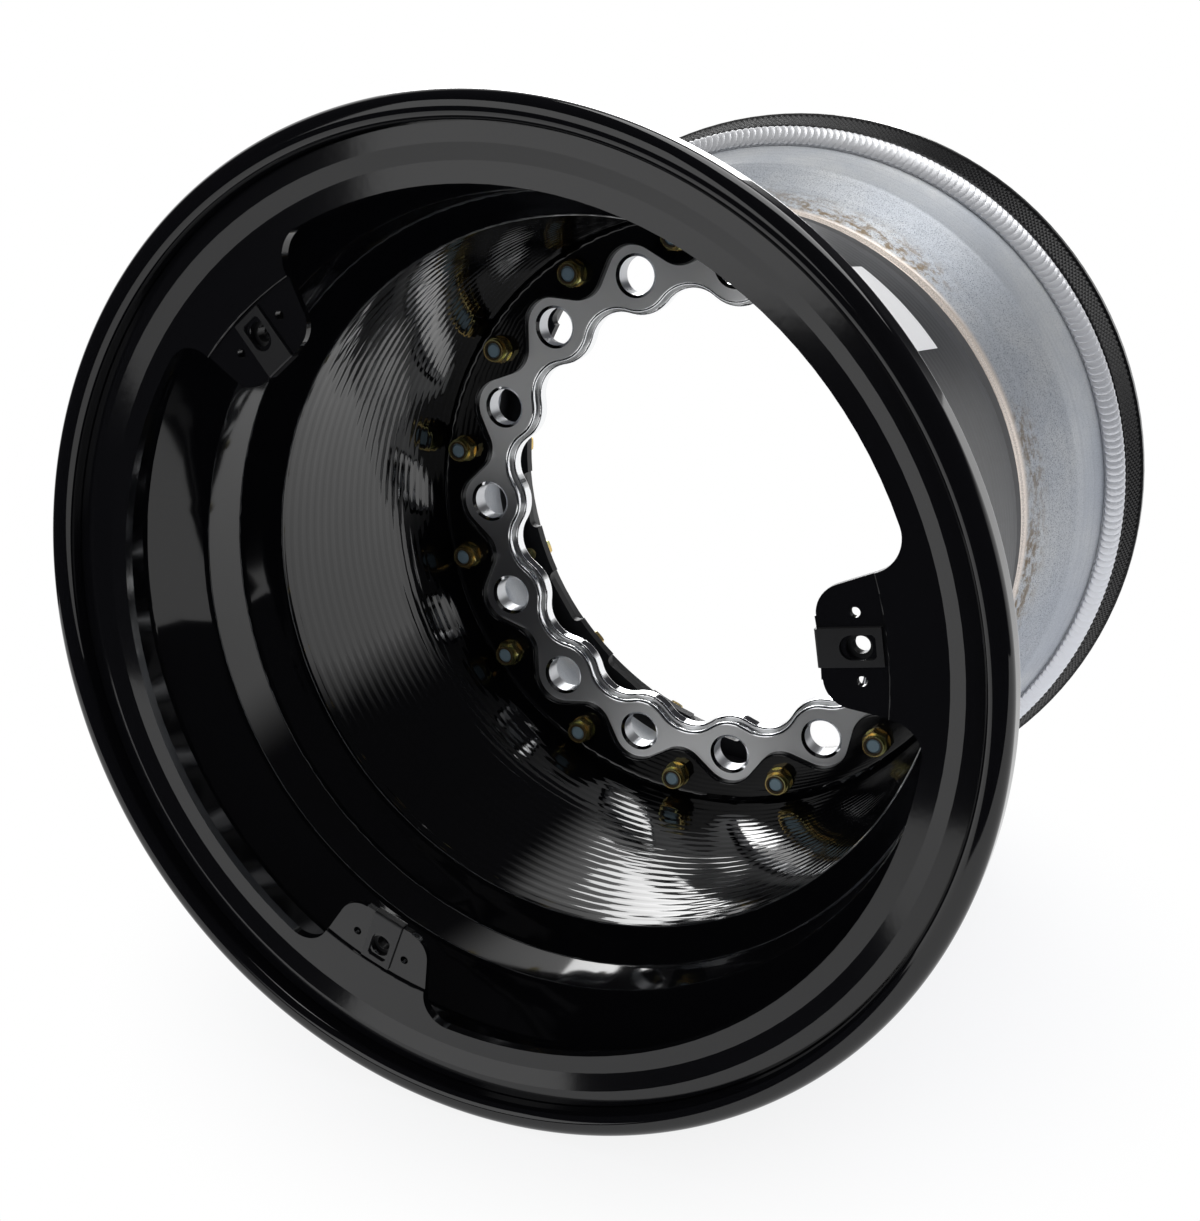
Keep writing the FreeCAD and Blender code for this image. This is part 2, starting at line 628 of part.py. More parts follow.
def window_between_tabs():
    """Opening from one tab to the next: both flanks, the plate's edge and the tab corners."""
    root = size["tab_root_round"]
    plate = size["cover_plate_inner"]
    half = size["tab_half_width"]
    end_half = size["tab_end_half_width"]
    tilt = math.atan2(half - end_half, size["tab_step_radius"] - size["tab_end"])
    corner = size["tab_corner_round"]
    inside = size["tab_end"] - corner
    flanks = []
    for index, side in ((0, 1), (1, -1)):
        # Corner arc at the end of the tab, straight flank, then the root arc into the plate
        hub = Vector(size["tab_end"] + corner, end_half - corner / math.cos(tilt) + corner * math.tan(tilt), 0)
        flank_way = Vector(math.cos(tilt), math.sin(tilt), 0)
        flank_out = Vector(-math.sin(tilt), math.cos(tilt), 0)
        corner_end = hub + flank_out * corner
        corner_mid = hub + (flank_out + Vector(-1, 0, 0)).normalize() * corner
        corner_start = hub + Vector(-corner, 0, 0)
        # Centre of the root arc: a root radius from the flank and from the plate's edge
        reach = plate - root
        offset = (corner_end + flank_out * root)
        toward = offset.dot(flank_way)
        gap = math.sqrt(reach ** 2 - offset.Length ** 2 + toward ** 2) - toward
        root_hub = offset + flank_way * gap
        root_start = root_hub - flank_out * root
        root_end = root_hub + Vector(root_hub).normalize() * root
        root_mid = root_hub + ((root_start - root_hub) + (root_end - root_hub)).normalize() * root
        foot = Vector(inside, corner_start.y, 0)
        flanks.append([tab_point(p.x, side * p.y, index) for p in (
            foot, corner_start, corner_mid, corner_end, root_start, root_mid, root_end)])
    geometry = []
    for foot, start, mid, end, root_start, root_mid, root_end in flanks:
        geometry.append(Part.LineSegment(foot, start))
        geometry.append(Part.Arc(start, mid, end))
        geometry.append(Part.LineSegment(end, root_start))
        geometry.append(Part.Arc(root_start, root_mid, root_end))
    across = size["tab_phase"] + tab_pitch / 2
    geometry.append(Part.Arc(flanks[0][6], polar(plate, across), flanks[1][6]))
    geometry.append(Part.Arc(flanks[0][0], polar(flanks[0][0].Length, across), flanks[1][0]))
    return geometry


window = cut(cover_ring, "window", window_between_tabs())
around(cover_ring, "windows", window, "sizes.tab_count")
for side, name in ((1, "upper_hole"), (-1, "lower_hole")):
    spot = tab_point(size["tab_hole_radius"], side * size["tab_hole_spacing"] / 2, 0)
    tab_hole = cut(cover_ring, name, [Part.Circle(spot, Vector(0, 0, 1), size["tab_hole"] / 2)])
    around(cover_ring, name + "s", tab_hole, "sizes.tab_count")
slot_spot = tab_point(size["clip_thread_radius"], 0, 0)
slot = cut(cover_ring, "screw_hole", [Part.Circle(slot_spot, Vector(0, 0, 1), size["tab_slot"] / 2)])
around(cover_ring, "screw_holes", slot, "sizes.tab_count")
round_circles(cover_ring, "tab_step_rounds", "sizes.tab_step_round",
              [("sizes.tab_step_radius", "sizes.cover_plate_front")])

# Spring clips: a strip folded over the end of each tab, with a window and a threaded barrel
tab_front_depth = number(tab_front)
tab_rear_depth = number(plate_rear)


def clip_shape():
    metal = size["clip_metal"]
    gap = size["fit_clearance"]
    half = size["clip_width"] / 2
    front = tab_front_depth - gap - metal
    rear = tab_rear_depth + gap + metal
    fold = size["tab_end"] - gap - metal
    strip = [Vector(size["clip_front_end"], front, -half), Vector(fold, front, -half),
             Vector(fold, rear, -half), Vector(size["clip_rear_end"], rear, -half),
             Vector(size["clip_rear_end"], rear - metal, -half), Vector(fold + metal, rear - metal, -half),
             Vector(fold + metal, front + metal, -half), Vector(size["clip_front_end"], front + metal, -half)]
    folded = Part.Face(Part.makePolygon(strip + strip[:1])).extrude(Vector(0, 0, size["clip_width"]))
    outer_folds = [e for e in folded.Edges
                   if e.Length > size["clip_width"] - 0.001 and abs(e.CenterOfMass.x - fold) < 0.001]
    folded = folded.makeFillet(metal, outer_folds)
    wide = size["clip_window_width"] / 2
    tip = size["clip_window_start"] + wide
    corner = size["clip_window_corner"]
    end = size["clip_window_end"]
    window_wire = Part.Wire([
        Part.Arc(Vector(tip, front, wide), Vector(tip - wide, front, 0), Vector(tip, front, -wide)).toShape(),
        Part.makeLine(Vector(tip, front, -wide), Vector(end - corner, front, -wide)),
        Part.makeLine(Vector(end - corner, front, -wide), Vector(end, front, -wide + corner)),
        Part.makeLine(Vector(end, front, -wide + corner), Vector(end, front, wide - corner)),
        Part.makeLine(Vector(end, front, wide - corner), Vector(end - corner, front, wide)),
        Part.makeLine(Vector(end - corner, front, wide), Vector(tip, front, wide)),
    ])
    window_tool = Part.Face(window_wire).extrude(Vector(0, metal, 0))
    spot = Vector(size["clip_thread_radius"], 0, 0)
    barrel = cylinder(size["clip_barrel"], rear - metal, rear + size["clip_barrel_height"])
    barrel.translate(spot)
    thread_tool = cylinder(size["clip_thread"], rear - metal, rear + size["clip_barrel_height"])
    thread_tool.translate(spot)
    return folded.fuse(barrel).cut(window_tool).cut(thread_tool).removeSplitter()


clip = clip_shape()
for index, label in enumerate(("cover_clip_right", "cover_clip_left", "cover_clip_bottom")):
    piece = solid_feature(label, clip)
    turn = Rotation(Vector(0, 1, 0), -(size["tab_phase"] + index * tab_pitch))
    piece.Placement = Placement(Vector(0, -middle, 0), turn)

# Fasteners of the joint: bolts from behind, washers and lock nuts in front
bolt_circle = size["bolt_circle"]
nut_base = front_flange - size["washer_thick"]
nut_top = nut_base - size["nut_height"]
bolt_end = nut_top + size["bolt_end_recess"]
bolt = cylinder(size["bolt_diameter"], bolt_end + size["bolt_end_bevel"], rear_flange)
bolt = bolt.fuse(Part.makeCone(size["bolt_diameter"] / 2 - size["bolt_end_bevel"], size["bolt_diameter"] / 2,
                               size["bolt_end_bevel"], Vector(0, bolt_end, 0), Vector(0, 1, 0)))
bolt = bolt.fuse(hexagon(size["head_across"], rear_flange, rear_flange + size["head_height"], "end"))
solid_feature("rim_bolts", ring_of(bolt.removeSplitter(), bolt_circle, lug_count, bolt_phase))
bolt_bore = size["bolt_diameter"] + size["fit_clearance"]
washer = cylinder(size["washer_diameter"], nut_base, front_flange)
washer = washer.cut(cylinder(size["bolt_diameter"] + size["bolt_clearance"], nut_base, front_flange))
solid_feature("rim_washers", ring_of(washer, bolt_circle, lug_count, bolt_phase))
shoulder = nut_top + size["nut_collar_height"]
nut = hexagon(size["nut_across"], shoulder, nut_base, "start").fuse(cylinder(size["nut_collar"], nut_top, shoulder))
nut = nut.removeSplitter().cut(cylinder(bolt_bore, nut_top, nut_base))
insert_end = nut_top + size["insert_height"]
nut = nut.cut(cylinder(size["insert_diameter"], nut_top, insert_end))
solid_feature("lock_nuts", ring_of(nut, bolt_circle, lug_count, bolt_phase))
insert = cylinder(size["insert_diameter"], nut_top, insert_end).cut(cylinder(bolt_bore, nut_top, insert_end))
solid_feature("nut_inserts", ring_of(insert, bolt_circle, lug_count, bolt_phase))

# Clamp bolts, screwed through the clamp ring into the bead ring's lobes
clamp_bolt = cylinder(size["bolt_diameter"], number(inner_flange), clamp_rear)
clamp_bolt = clamp_bolt.fuse(hexagon(size["head_across"], clamp_rear, clamp_rear + size["head_height"], "end"))
clamp_count = int(size["clamp_count"])
solid_feature("clamp_bolts", ring_of(clamp_bolt.removeSplitter(), size["clamp_bolt_circle"],
                                     clamp_count, size["clamp_phase"]))

# Sealant in the groove round the centre ring
joint_seal = new_body("joint_seal")
revolve(joint_seal, "bead", [
    ("sizes.ring_radius", "sizes.ring_front"), ("sizes.seal_outer_radius", "sizes.ring_front"),
    ("sizes.seal_outer_radius", RING_REAR), ("sizes.ring_radius", RING_REAR),
])

# Tyre valve: set square to the drop, its base on the tyre side and its stem in the dish.
# Each piece is turned up along Y, with zero on the wheel's axis, then laid along the radius.
wall_inner = size["drop_radius"]
wall_outer = wall_inner + size["wall"]
drop_span = size["valve_seal_diameter"]


def drop_bar(radius):
    """Round bar with the radius of the drop's wall, lying along the wheel's axis."""
    return Part.makeCylinder(radius, drop_span, Vector(0, 0, -drop_span / 2), Vector(0, 0, 1))


seal_top = wall_outer + size["valve_seal_thick"]
seal_foot = wall_inner - size["valve_seal_thick"]
stem_top = seal_top + size["valve_base_thick"]
stem_end = stem_top - size["valve_length"]
seal = cylinder(size["valve_seal_diameter"], wall_inner, seal_top).cut(drop_bar(wall_outer))
sleeve = cylinder(size["valve_hole"], seal_foot, seal_top)
seal = seal.fuse(sleeve)
foot_disc = cylinder(size["valve_seal_diameter"], seal_foot, wall_inner).common(drop_bar(wall_inner))
seal = seal.fuse(foot_disc).removeSplitter()
seal = seal.cut(cylinder(size["valve_diameter"], seal_foot, seal_top))
stem = cylinder(size["valve_base_diameter"], seal_top, stem_top).fuse(
    cylinder(size["valve_diameter"], stem_end, seal_top)).removeSplitter()
nut_foot = seal_foot - size["valve_nut_height"]
valve_nut_shape = hexagon(size["valve_nut_across"], nut_foot, seal_foot, "start").cut(
    cylinder(size["valve_diameter"] + size["fit_clearance"], nut_foot, seal_foot))
cap_foot = stem_end - size["valve_cap_wall"]
cap_top = cap_foot + size["valve_cap_height"]
cap = cylinder(size["valve_cap_diameter"], cap_foot, cap_top).cut(
    cylinder(size["valve_diameter"] + size["fit_clearance"], stem_end, cap_top))
# Up along Y becomes outward along the valve's radius; Z becomes the wheel's axis
valve_radius = polar(1, size["valve_angle"])
outward_way = Vector(valve_radius.x, 0, valve_radius.y)
valve_lay = Rotation(outward_way.cross(Vector(0, 1, 0)), outward_way, Vector(0, 1, 0), "ZYX")
for label, shape in (("valve_seal", seal), ("valve_stem", stem), ("valve_nut", valve_nut_shape), ("valve_cap", cap)):
    piece = solid_feature(label, shape)
    piece.Placement = Placement(Vector(0, size["valve_depth"] - middle, 0), valve_lay)

doc.recompute()

PIECES = [
    "outer_half", "centre_ring", "inner_half", "bead_ring", "weld_bead", "clamp_ring", "clamp_bolts",
    "cover_ring", "cover_clip_right", "cover_clip_left", "cover_clip_bottom", "rim_bolts", "rim_washers",
    "lock_nuts", "nut_inserts", "joint_seal", "valve_seal", "valve_stem", "valve_nut", "valve_cap",
]
for item in doc.Objects:
    if "Invalid" in item.State or "Error" in item.State:
        raise RuntimeError("%s did not build: %s" % (item.Label, item.State))
os.makedirs("parts", exist_ok=True)
for label in PIECES:
    piece = doc.getObjectsByLabel(label)[0]
    if piece.Shape.isNull() or not piece.Shape.isValid():
        raise RuntimeError(label + " has no valid shape")
for label in PIECES:
    piece = doc.getObjectsByLabel(label)[0]
    piece.Shape.exportStep("parts/%s.step" % label)
    box = piece.Shape.BoundBox
    print("%-18s %2d solid(s) %10.0f mm3  y %.1f to %.1f" % (
        label, len(piece.Shape.Solids), piece.Shape.Volume, box.YMin, box.YMax))
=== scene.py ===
# %% [markdown]
# # A deep-dish racing wheel
# The wheel is bolted up from spun aluminium shells: a gloss black outer half with a deep
# dish, a polished ring that takes the hub studs, and a bare inner half with a welded bead
# ring behind. Every solid comes from the CAD frame. Here each one gets its finish, and the
# small things that only the eye meets, such as weld ripples and a paper label.

# %% Load the wheel
import math
import bpy
from mathutils import Matrix, Vector


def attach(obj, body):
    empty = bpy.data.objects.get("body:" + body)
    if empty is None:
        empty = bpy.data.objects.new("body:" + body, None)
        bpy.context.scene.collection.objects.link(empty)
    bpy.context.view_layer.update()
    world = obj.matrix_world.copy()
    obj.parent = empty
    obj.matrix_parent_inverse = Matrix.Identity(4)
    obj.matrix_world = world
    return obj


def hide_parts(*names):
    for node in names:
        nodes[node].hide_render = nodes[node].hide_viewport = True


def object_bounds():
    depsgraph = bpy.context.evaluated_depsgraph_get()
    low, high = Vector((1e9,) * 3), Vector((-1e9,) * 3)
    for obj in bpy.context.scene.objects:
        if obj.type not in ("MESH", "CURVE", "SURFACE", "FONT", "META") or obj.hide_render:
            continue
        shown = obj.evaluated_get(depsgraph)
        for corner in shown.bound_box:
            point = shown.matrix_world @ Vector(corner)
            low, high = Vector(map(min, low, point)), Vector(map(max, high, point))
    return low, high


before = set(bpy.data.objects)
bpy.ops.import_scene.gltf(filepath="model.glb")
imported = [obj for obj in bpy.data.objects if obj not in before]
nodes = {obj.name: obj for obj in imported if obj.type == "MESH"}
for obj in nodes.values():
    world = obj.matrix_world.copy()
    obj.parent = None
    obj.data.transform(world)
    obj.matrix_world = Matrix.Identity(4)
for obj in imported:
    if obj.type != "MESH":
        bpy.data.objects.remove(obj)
cad_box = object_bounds()
bpy.ops.object.select_all(action="DESELECT")
scene = bpy.context.scene
scene.view_settings.view_transform = "Standard"
print("pieces from the frame:", len(nodes))

# %% [markdown]
# ## Camera
# The photograph looks into the dish from the right and from above. The lens and the place
# were solved from the rims, nuts and lug holes, so the camera gets those values as they are.
# A little shift stands for the crop of the picture.

# %% Camera
bpy.ops.object.camera_add(location=(0.2723, -0.6583, 0.1827),
                          rotation=(math.radians(90 - 18.63), 0, math.radians(24.44)))
camera = bpy.context.object
camera.data.lens = 44.15
camera.data.sensor_width = 36
camera.data.shift_x = -0.01196
camera.data.shift_y = 0.03817
camera.data.clip_start = 0.01
scene.camera = camera
print("lens", camera.data.lens)

# %% [markdown]
# ## Node helpers
# Materials are built from nodes in code. A few short helpers keep that readable: they add a
# node with its values, join a value or a socket to an input, and mask a band of values.


# %% Node helpers
def feed(tree, socket, source):
    """Join a socket to an input, or set the input to a plain value."""
    if isinstance(source, bpy.types.NodeSocket):
        tree.links.new(source, socket)
    else:
        socket.default_value = source


def add(tree, kind, *inputs, **settings):
    """Add a node, set its options, and feed its inputs in order."""
    node = tree.nodes.new("ShaderNode" + kind)
    for name, value in settings.items():
        setattr(node, name, value)
    for socket, source in zip(node.inputs, inputs):
        if source is not None:
            feed(tree, socket, source)
    return node


def math_node(tree, operation, a, b=None, c=None):
    return add(tree, "Math", a, b, c, operation=operation).outputs[0]


def between(tree, value, low, high):
    """0 below low, 1 above high, smooth between."""
    node = add(tree, "MapRange", value, low, high, interpolation_type="SMOOTHSTEP", clamp=True)
    return node.outputs[0]


def band(tree, value, rise, fall):
    """1 between a rising and a falling edge, 0 beyond them. Each edge is a pair of values."""
    return math_node(tree, "MULTIPLY", between(tree, value, *rise), between(tree, value, *fall))


def blend_colours(tree, factor, first, second):
    node = add(tree, "Mix", data_type="RGBA")
    feed(tree, node.inputs[0], factor)
    feed(tree, node.inputs[6], first)
    feed(tree, node.inputs[7], second)
    return node.outputs[2]


def noise(tree, vector, scale, detail=2.0, roughness=0.5):
    return add(tree, "TexNoise", vector, None, scale, detail, roughness).outputs[0]


def new_group(name, inputs, outputs):
    """Empty shader group with named float inputs and outputs."""
    group = bpy.data.node_groups.new(name, "ShaderNodeTree")
    for label, value in inputs:
        socket = group.interface.new_socket(label, in_out="INPUT", socket_type="NodeSocketFloat")
        socket.default_value = value
    for label in outputs:
        group.interface.new_socket(label, in_out="OUTPUT", socket_type="NodeSocketFloat")
    start = group.nodes.new("NodeGroupInput")
    end = group.nodes.new("NodeGroupOutput")
    return group, start.outputs, end.inputs


def place_group(tree, group, *inputs):
    node = tree.nodes.new("ShaderNodeGroup")
    node.node_tree = group
    for socket, source in zip(node.inputs, inputs):
        feed(tree, socket, source)
    return node.outputs


print("helpers ready")

# %% [markdown]
# ## Shared effects
# A wheel is round, so most marks on it run round the axis. The first group turns the object
# coordinates into a radius, a depth along the axis and a turn, and says how far a face looks
# away from the axis. The second makes the fine rings that a spinning tool leaves, and the
# third the speckle of bare metal.

# %% Wheel coordinates
wheel_place, _, ends = new_group("wheel_place", (), ("Radius", "Depth", "Turn", "Facing"))
source = add(wheel_place, "TexCoord").outputs
split = add(wheel_place, "SeparateXYZ", source["Object"]).outputs
spoke = add(wheel_place, "VectorMath", source["Object"], (1, 0, 1), operation="MULTIPLY").outputs["Vector"]
facing = add(wheel_place, "VectorMath", source["Normal"], spoke, operation="DOT_PRODUCT").outputs["Value"]
wheel_place.links.new(facing, ends["Facing"])
squares = math_node(wheel_place, "ADD", math_node(wheel_place, "MULTIPLY", split[0], split[0]),
                    math_node(wheel_place, "MULTIPLY", split[2], split[2]))
wheel_place.links.new(math_node(wheel_place, "SQRT", squares), ends["Radius"])
wheel_place.links.new(split[1], ends["Depth"])
wheel_place.links.new(math_node(wheel_place, "ARCTAN2", split[2], split[0]), ends["Turn"])
print("group", wheel_place.name)

# %% Spinning marks
spin_marks, starts, ends = new_group("spin_marks", (("Lines", 300.0), ("Drift", 0.2)), ("Height",))
place = place_group(spin_marks, wheel_place)
drift = math_node(spin_marks, "MULTIPLY", place["Turn"], starts["Drift"])
section = add(spin_marks, "CombineXYZ", math_node(spin_marks, "MULTIPLY", place["Radius"], starts["Lines"]),
              math_node(spin_marks, "MULTIPLY", place["Depth"], starts["Lines"]), drift).outputs[0]
spin_marks.links.new(noise(spin_marks, section, 1.0, 3.0), ends["Height"])
print("group", spin_marks.name)

# %% Speckle
speckle, starts, ends = new_group("speckle", (("Scale", 900.0), ("Low", 0.55), ("High", 0.75)), ("Mask",))
coords = add(speckle, "TexCoord").outputs["Object"]
dots = noise(speckle, coords, starts["Scale"], 2.0, 0.6)
speckle.links.new(between(speckle, dots, starts["Low"], starts["High"]), ends["Mask"])
print("group", speckle.name)


# %% [markdown]
# ## Finishes
# Each finish is one Principled shader. Values that are the same all over are set on the
# shader; only what changes over the surface comes through nodes.


# %% Material helper
def finish(name, base, metallic, roughness):
    """Material with one Principled shader. Returns its tree and the shader's inputs."""
    material = bpy.data.materials.new(name)
    material.use_nodes = True
    tree = material.node_tree
    shader = tree.nodes["Principled BSDF"]
    feed(tree, shader.inputs["Base Color"], base)
    feed(tree, shader.inputs["Metallic"], metallic)
    feed(tree, shader.inputs["Roughness"], roughness)
    return material, tree, shader.inputs


def bump(tree, shader, height, distance, strength=1.0, normal=None):
    node = add(tree, "Bump")
    node.inputs["Strength"].default_value = strength
    node.inputs["Distance"].default_value = distance
    feed(tree, node.inputs["Height"], height)
    if normal is not None:
        feed(tree, node.inputs["Normal"], normal)
    feed(tree, shader["Normal"], node.outputs[0])
    return node.outputs[0]


def wear(material, *names):
    """Put one material on each named node."""
    for name in names:
        mesh = nodes[name].data
        mesh.materials.clear()
        mesh.materials.append(material)
    print(material.name, "on", ", ".join(names))


# %% [markdown]
# Gloss black powder coat: almost no colour of its own, it lives from reflections. Inside the
# dish the spun rings show through the coat and comb every reflection, and shallow dents make
# them waver, so this bump is masked to the barrel. The outside of the barrel is a dull grey.

# %% Gloss black coat
black, tree, shader = finish("gloss_black_coat", (0.004, 0.004, 0.005, 1), 0.0, 0.05)
place = place_group(tree, wheel_place)
coords = add(tree, "TexCoord").outputs["Object"]
in_barrel = band(tree, place["Depth"], (-0.098, -0.085), (0.056, 0.04))
sway = math_node(tree, "MULTIPLY", noise(tree, coords, 9.0, 1.0), 5.0)
broad_pitch, fine_pitch = 0.006, 0.0021
broad, fine = [
    math_node(tree, "SINE", math_node(tree, "MULTIPLY_ADD", place["Depth"], 2 * math.pi / pitch, sway))
    for pitch in (broad_pitch, fine_pitch)
]
dents = math_node(tree, "MULTIPLY", noise(tree, coords, 18.0, 1.0), 22.0)
waves = math_node(tree, "ADD", math_node(tree, "MULTIPLY_ADD", fine, 0.12, broad), dents)
rings = math_node(tree, "MULTIPLY", waves, in_barrel)
outside = math_node(tree, "MULTIPLY", between(tree, place["Facing"], 0.02, 0.06),
                    between(tree, place["Depth"], -0.172, -0.168))
lathe = place_group(tree, spin_marks, 700.0, 0.3)["Height"]
grey = blend_colours(tree, between(tree, lathe, 0.3, 0.7), (0.012, 0.012, 0.013, 1), (0.034, 0.034, 0.036, 1))
feed(tree, shader["Base Color"], blend_colours(tree, outside, (0.004, 0.004, 0.005, 1), grey))
feed(tree, shader["Roughness"], math_node(tree, "MULTIPLY_ADD", outside, 0.33, 0.05))
inside_bump = bump(tree, shader, rings, 0.00003)
bump(tree, shader, math_node(tree, "MULTIPLY", lathe, outside), 0.00008, normal=inside_bump)
wear(black, "outer_half")

# %% Gloss black cover
cover, tree, shader = finish("gloss_black_cover", (0.005, 0.005, 0.006, 1), 0.0, 0.09)
peel = noise(tree, add(tree, "TexCoord").outputs["Object"], 260.0, 1.0)
bump(tree, shader, peel, 0.000008)
wear(cover, "cover_ring")

# %% [markdown]
# ## Smooth lip
# The rolled lip is the glossiest edge of the wheel, and the facets of a mesh show there
# first. So the shell behind the bead is kept as a copy of its solid, cut off just behind the
# lip, and a lip with many more steps is spun from its section and bridged to the cut.


# %% Section and spin helpers
def rounded(corners, steps=12):
    """Section line (radius, depth) from corners with a rounding each."""
    line = []
    for k, (radius, depth, rounding) in enumerate(corners):
        here = Vector((radius, depth))
        if rounding == 0:
            line.append(here)
            continue
        back = (Vector(corners[k - 1][:2]) - here).normalized()
        onward = (Vector(corners[k + 1][:2]) - here).normalized()
        half = back.angle(onward) / 2
        centre = here + (back + onward).normalized() * (rounding / math.sin(half))
        start = here + back * (rounding / math.tan(half)) - centre
        end = here + onward * (rounding / math.tan(half)) - centre
        turn = -start.angle_signed(end)
        line += [centre + Matrix.Rotation(turn * s / steps, 2) @ start for s in range(steps + 1)]
    return line


def pick(piece):
    """Select one piece alone and make it active."""
    bpy.ops.object.select_all(action="DESELECT")
    piece.select_set(True)
    bpy.context.view_layer.objects.active = piece


def close_seams():
    bpy.ops.mesh.select_all(action="SELECT")
    bpy.ops.mesh.remove_doubles(threshold=0.000005)
    bpy.ops.mesh.normals_make_consistent(inside=False)


def spin_copies(piece, count):
    """Repeat the mesh of a piece evenly round the axis of the wheel."""
    pick(piece)
    bpy.ops.object.mode_set(mode="EDIT")
    bpy.ops.mesh.select_all(action="SELECT")
    turn = 2 * math.pi * (count - 1) / count
    bpy.ops.mesh.spin(steps=count - 1, dupli=True, angle=turn, center=(0, 0, 0), axis=(0, 1, 0))
    close_seams()
    bpy.ops.object.mode_set(mode="OBJECT")


# %% Lip
front_depth = -0.196025
lip_outer, lip_inner, lip_round = 0.2032, 0.1932, 0.0047
bead_outer, bead_inner, bead_round = 0.19, 0.1855, 0.005
flange_front, flange_back, lip_steps = 0.0121, 0.0166, 480
seam_depth, seam_outer, seam_inner, seam_width = 0.022, 0.189533, 0.184796, 0.0002
lip_line = rounded([
    (seam_inner, seam_depth, 0), (bead_inner, flange_front, bead_round), (lip_inner, flange_front, 0),
    (lip_inner, 0, lip_round), (lip_outer, 0, lip_round), (lip_outer, flange_back, lip_round),
    (bead_outer, flange_back, bead_round), (seam_outer, seam_depth, 0),
])
bpy.ops.mesh.primitive_circle_add(vertices=len(lip_line))
lip = bpy.context.object
for corner, (radius, depth) in zip(lip.data.vertices, lip_line):
    corner.co = (radius, front_depth + depth, 0)
for edge in lip.data.edges:
    edge.select = set(edge.vertices) == {0, len(lip_line) - 1}
for corner in lip.data.vertices:
    corner.select = corner.index in (0, len(lip_line) - 1)
bpy.ops.object.mode_set(mode="EDIT")
bpy.ops.mesh.delete(type="EDGE_FACE")
bpy.ops.mesh.select_all(action="SELECT")
bpy.ops.mesh.spin(steps=lip_steps, angle=2 * math.pi, center=(0, 0, 0), axis=(0, 1, 0))
close_seams()
bpy.ops.object.mode_set(mode="OBJECT")
print("lip", len(lip.data.polygons), "faces")

# %% Shell behind the lip
shell = nodes["outer_half"].copy()
shell.data = nodes["outer_half"].data.copy()
scene.collection.objects.link(shell)
shell.parent = None
shell.matrix_world = nodes["outer_half"].matrix_world
pick(shell)
bpy.ops.object.transform_apply(location=True, rotation=True, scale=True)
bpy.ops.mesh.customdata_custom_splitnormals_clear()
bpy.ops.object.mode_set(mode="EDIT")
close_seams()
cut_depth = front_depth + seam_depth + seam_width
bpy.ops.mesh.bisect(plane_co=(0, cut_depth, 0), plane_no=(0, 1, 0), clear_inner=True)
bpy.ops.object.mode_set(mode="OBJECT")
lip.select_set(True)
bpy.ops.object.join()
seam_middle = (seam_outer + seam_inner) / 2
for outer_loop in (True, False):
    bpy.ops.object.mode_set(mode="EDIT")
    bpy.ops.mesh.select_mode(type="EDGE")
    bpy.ops.mesh.select_all(action="DESELECT")
    bpy.ops.mesh.select_non_manifold(extend=False, use_wire=False, use_multi_face=False,
                                     use_non_contiguous=False, use_verts=False)
    bpy.ops.object.mode_set(mode="OBJECT")
    for edge in shell.data.edges:
        spot = shell.data.vertices[edge.vertices[0]].co
        edge.select = edge.select and (math.hypot(spot.x, spot.z) > seam_middle) == outer_loop
    bpy.ops.object.mode_set(mode="EDIT")
    bpy.ops.mesh.bridge_edge_loops()
    bpy.ops.mesh.select_mode(type="VERT")
    close_seams()
    bpy.ops.object.mode_set(mode="OBJECT")
bpy.ops.object.shade_smooth_by_angle(angle=math.radians(32))
weights = shell.modifiers.new("even_shading", "WEIGHTED_NORMAL")
weights.keep_sharp = True
shell.name = "outer_shell"
shell.data.materials.clear()
shell.data.materials.append(black)
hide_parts("outer_half")
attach(shell, "root")
print("shell", len(shell.data.polygons), "faces")

# %% [markdown]
# Polished aluminium is nearly a mirror. Its turned front face is satin, brightest where the
# turning lines lie across the light, and the walls of the lug holes are duller.

# %% Polished ring
polished, tree, shader = finish("polished_aluminium", (0.9, 0.91, 0.92, 1), 1.0, 0.06)
lines = place_group(tree, spin_marks, 1800.0, 0.4)["Height"]
faced = add(tree, "SeparateXYZ", add(tree, "TexCoord").outputs["Normal"]).outputs[1]
satin = between(tree, math_node(tree, "MULTIPLY", faced, -1.0), 0.93, 0.985)
polish = math_node(tree, "MULTIPLY_ADD", lines, 0.1, 0.02)
reach = place_group(tree, wheel_place)["Radius"]
sideways = between(tree, math_node(tree, "ABSOLUTE", faced), 0.5, 0.2)
in_holes = math_node(tree, "MULTIPLY", sideways, band(tree, reach, (0.1215, 0.1235), (0.1415, 0.1405)))
dull = math_node(tree, "MULTIPLY_ADD", in_holes, 0.3, math_node(tree, "MULTIPLY", satin, 0.31))
feed(tree, shader["Roughness"], math_node(tree, "ADD", dull, polish))
feed(tree, shader["Base Color"], blend_colours(tree, in_holes, (0.9, 0.91, 0.92, 1), (0.55, 0.56, 0.58, 1)))
feed(tree, shader["Anisotropic"], satin)
shader["Anisotropic Rotation"].default_value = 0.25
feed(tree, shader["Tangent"], add(tree, "Tangent", direction_type="RADIAL", axis="Y").outputs[0])
bump(tree, shader, lines, 0.00002)
wear(polished, "centre_ring")
